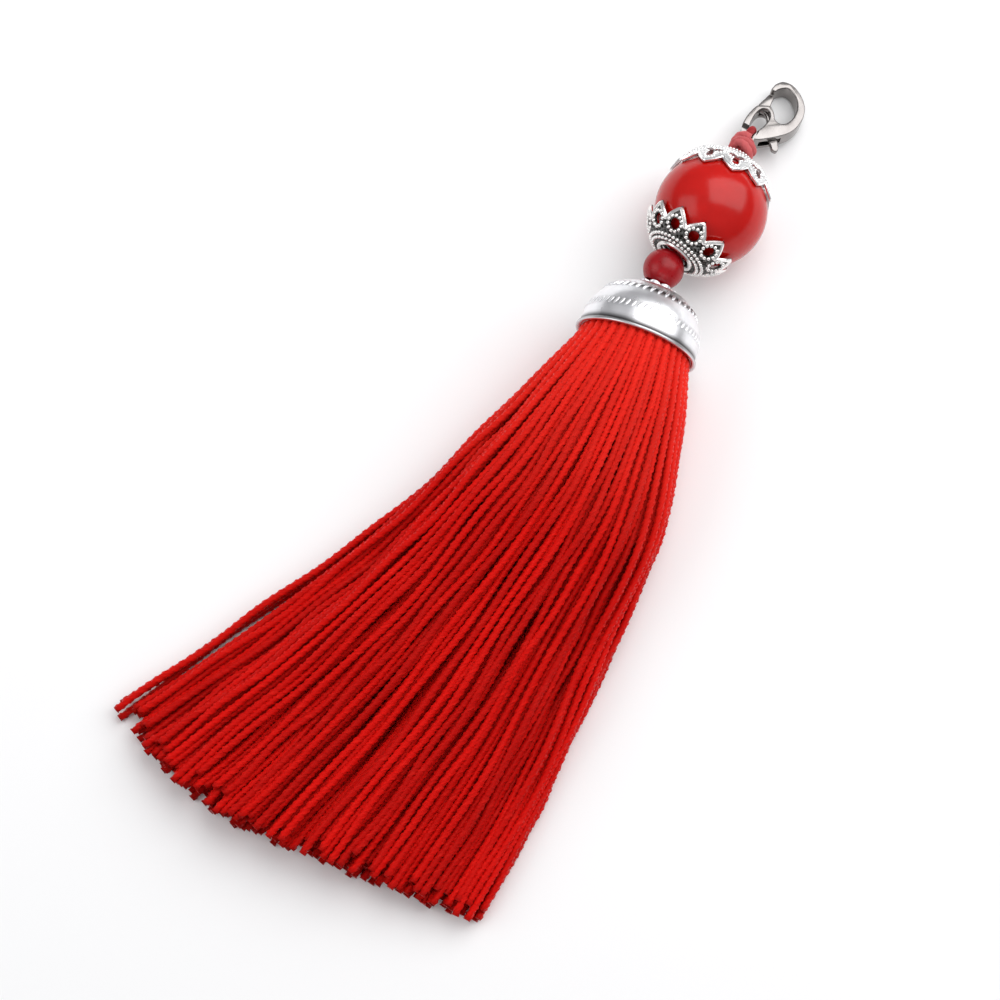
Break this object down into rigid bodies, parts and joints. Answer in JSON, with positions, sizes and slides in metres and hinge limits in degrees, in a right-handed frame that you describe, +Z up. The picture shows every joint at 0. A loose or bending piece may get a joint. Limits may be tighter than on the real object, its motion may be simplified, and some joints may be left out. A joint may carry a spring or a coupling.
{
  "type": "silk tassel charm with beads and a lobster clasp",
  "caption": "Twisted silk cords fanned out from a bell cap, under a small and a large bead with petal caps, with a sprung hook for hanging.",
  "frame": {"origin": "middle of the small flat spot on which the large bead rests", "axes": "+Y along the tassel from its tail to its clasp, +X across the fan of cords, +Z up from the surface on which it lies"},
  "size_m": [0.0575, 0.1323, 0.0176],
  "materials": {
    "silk": "satin, glossy twisted cord",
    "bright_silver": "bright silver plate",
    "dark_silver": "antique silver plate, darkened in its recesses",
    "red_bead": "polished resin",
    "small_red_bead": "satin resin",
    "cord": "glossy wound cord",
    "clasp_metal": "polished plate"
  },
  "bodies": {
    "tassel": {"skirt": "silk", "tassel_cap": "bright_silver", "small_bead": "small_red_bead", "lower_bead_cap": "dark_silver", "large_bead": "red_bead", "upper_bead_cap": "bright_silver", "hanging_cord": "cord", "clasp_body": "clasp_metal"},
    "gate": {"clasp_gate": "clasp_metal"}
  },
  "joints": [
    {"name": "gate_hinge", "type": "hinge", "parent": "tassel", "child": "gate", "pos_m": [0.0006, 0.01641, 0.00299], "axis": [0, -0.2079, -0.9781], "range_deg": [0, 25], "stiffness_Nm_per_rad": 0.002}
  ]
}
